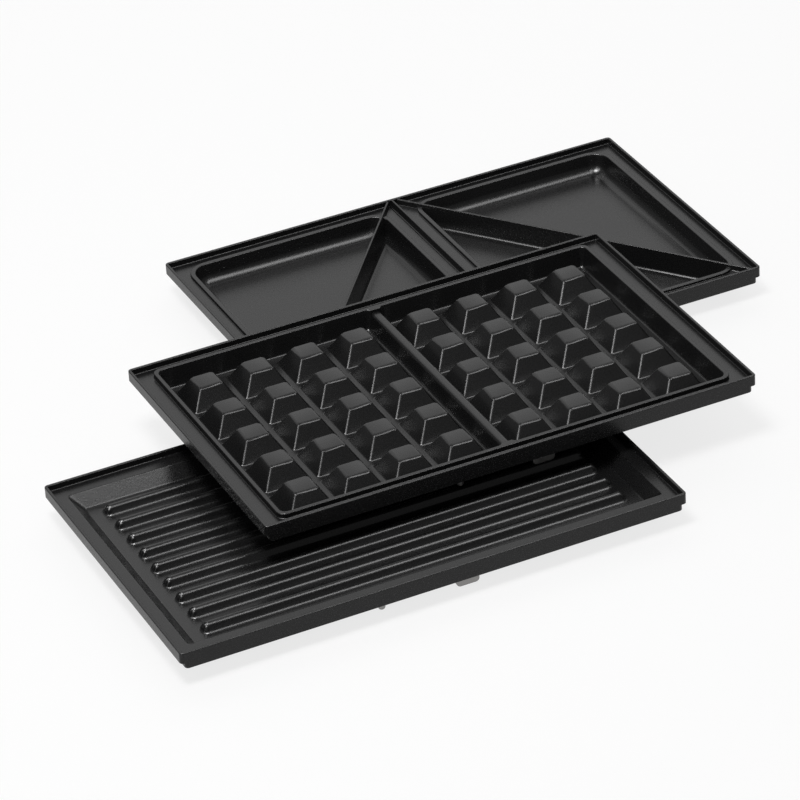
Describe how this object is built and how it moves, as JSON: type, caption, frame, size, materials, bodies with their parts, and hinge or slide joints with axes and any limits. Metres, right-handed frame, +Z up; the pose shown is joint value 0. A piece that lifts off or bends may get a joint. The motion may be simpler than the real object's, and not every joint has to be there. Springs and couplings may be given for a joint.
{
  "type": "sandwich maker plate set",
  "caption": "Removable non-stick cooking plates for a sandwich maker: a ribbed grill plate, a sandwich plate with cutting ridges and a waffle plate lying across them.",
  "frame": {"origin": "middle of the set in plan, on the table that the grill and sandwich plates stand on", "axes": "+X along the plates' long sides, to the right as seen from the lugs; +Y away from the lugs; +Z up"},
  "size_m": [0.357, 0.2944, 0.032],
  "materials": {
    "non_stick_aluminium": "die-cast aluminium under a satin black non-stick coating with a fine pebbled texture",
    "bare_steel": "bare stamped steel, lightly scuffed"
  },
  "bodies": {
    "grill": {"grill_plate": "non_stick_aluminium", "grill_latch_lug": "bare_steel", "grill_locating_pin": "bare_steel"},
    "sandwich": {"sandwich_plate": "non_stick_aluminium", "sandwich_latch_lug": "bare_steel", "sandwich_locating_pin": "bare_steel"},
    "waffle": {"waffle_plate": "non_stick_aluminium", "waffle_latch_lug": "bare_steel", "waffle_locating_pin": "bare_steel"}
  },
  "joints": [
    {"name": "lift_sandwich_plate", "type": "slide", "parent": "grill", "child": "sandwich", "axis": [0, 0, 1], "range_m": [0, 0.08]},
    {"name": "lift_waffle_plate", "type": "slide", "parent": "sandwich", "child": "waffle", "axis": [0, 0, 1], "range_m": [0, 0.08]}
  ]
}
